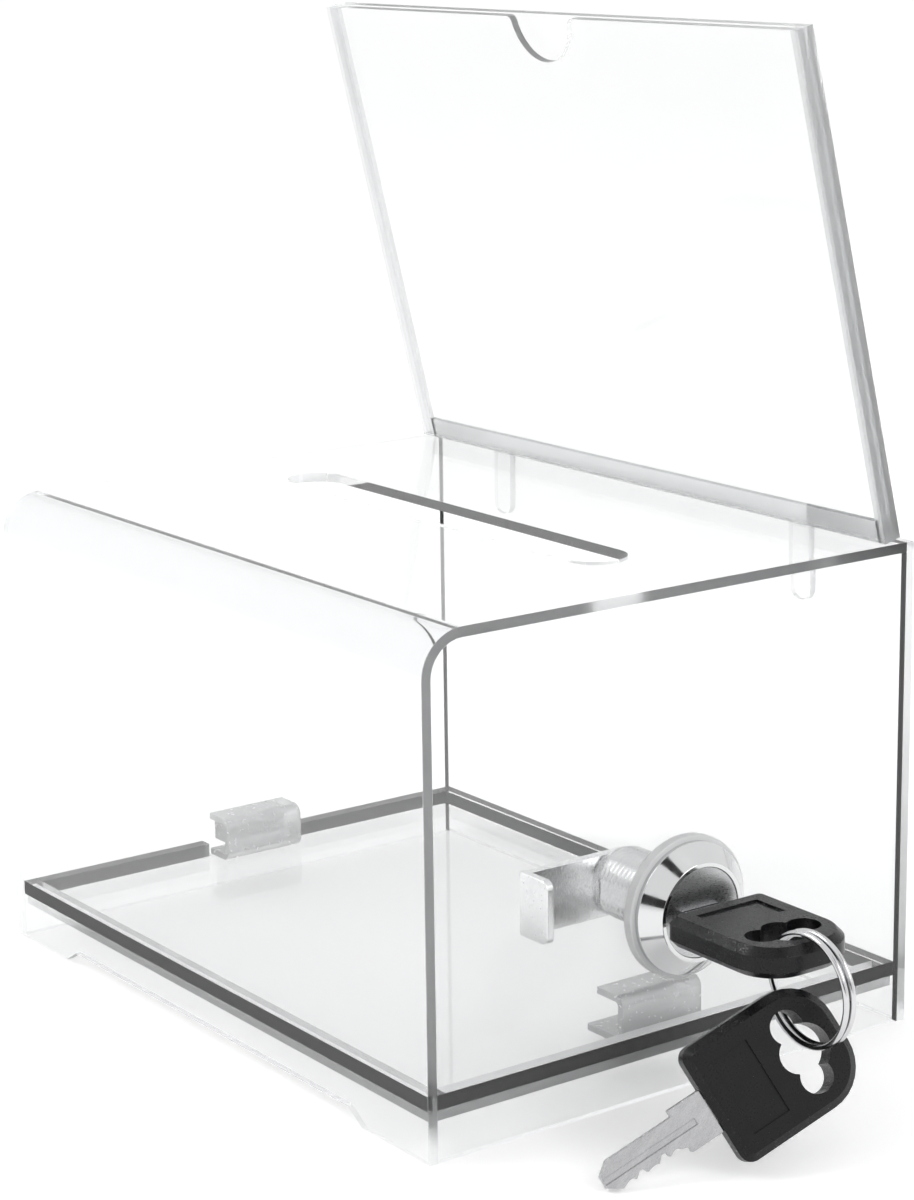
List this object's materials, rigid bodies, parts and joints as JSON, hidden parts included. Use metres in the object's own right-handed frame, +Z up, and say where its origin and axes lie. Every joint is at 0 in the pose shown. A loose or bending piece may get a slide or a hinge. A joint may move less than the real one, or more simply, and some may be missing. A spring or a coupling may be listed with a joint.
{
  "type": "ballot box",
  "caption": "Clear acrylic tabletop ballot box with a top slot, a lock-released drop-out base, keys on a ring and a lift-off sign holder.",
  "frame": {"origin": "centre of the box's footprint on the surface that it stands on", "axes": "+X towards the side with the lock, -Y towards the bent front, +Z up"},
  "size_m": [0.2079, 0.12, 0.2029],
  "materials": {
    "clear_acrylic": "clear polished acrylic sheet",
    "bent_acrylic": "bent acrylic, slightly cloudy",
    "gasket": "translucent soft plastic",
    "chrome": "polished chrome plating",
    "steel": "nickel plated steel",
    "black_plastic": "black satin moulded plastic"
  },
  "bodies": {
    "box": {"hood_sheet": "clear_acrylic", "back_panel": "clear_acrylic", "lock_side_wall": "clear_acrylic", "far_side_wall": "clear_acrylic", "ledge_front": "clear_acrylic", "ledge_back": "clear_acrylic", "ledge_lock_side": "clear_acrylic", "ledge_far_side": "clear_acrylic", "hook_keeper": "bent_acrylic", "lock_housing": "chrome", "lock_gasket": "gasket", "lock_nut": "steel"},
    "base": {"base_plate": "clear_acrylic", "cam_catch": "bent_acrylic", "far_hook": "bent_acrylic"},
    "plug": {"lock_plug": "chrome", "wafer_tumblers": "steel", "wafer_springs": "steel", "cam_washer": "steel", "lock_cam": "steel", "cam_screw": "steel"},
    "key": {"key_blade": "steel", "key_head": "black_plastic"},
    "ring": {"key_ring": "steel"},
    "spare_key": {"spare_key_blade": "steel", "spare_key_head": "black_plastic"},
    "sign": {"sign_front_sheet": "clear_acrylic", "sign_back_sheet": "clear_acrylic", "sign_left_spacer": "clear_acrylic", "sign_right_spacer": "clear_acrylic", "sign_bottom_spacer": "clear_acrylic"}
  },
  "joints": [
    {"name": "plug_turn", "type": "hinge", "parent": "box", "child": "plug", "pos_m": [0.08, 0, 0.038], "axis": [1, 0, 0], "range_deg": [0, 90]},
    {"name": "key_pull", "type": "slide", "parent": "plug", "child": "key", "axis": [1, 0, 0], "range_m": [0, 0.024]},
    {"name": "ring_swing", "type": "hinge", "parent": "key", "child": "ring", "pos_m": [0.1167, 0, 0.038], "axis": [0, -1, 0], "range_deg": [0, 60]},
    {"name": "spare_swing", "type": "hinge", "parent": "ring", "child": "spare_key", "pos_m": [0.1167, 0, 0.0209], "axis": [-1, 0, 0], "range_deg": [0, 25]},
    {"name": "base_drop", "type": "hinge", "parent": "box", "child": "base", "pos_m": [-0.0776, 0, 0.0075], "axis": [0, 1, 0], "range_deg": [0, 2.6]},
    {"name": "sign_lift", "type": "slide", "parent": "box", "child": "sign", "axis": [0, 0, 1], "range_m": [0, 0.025]}
  ]
}
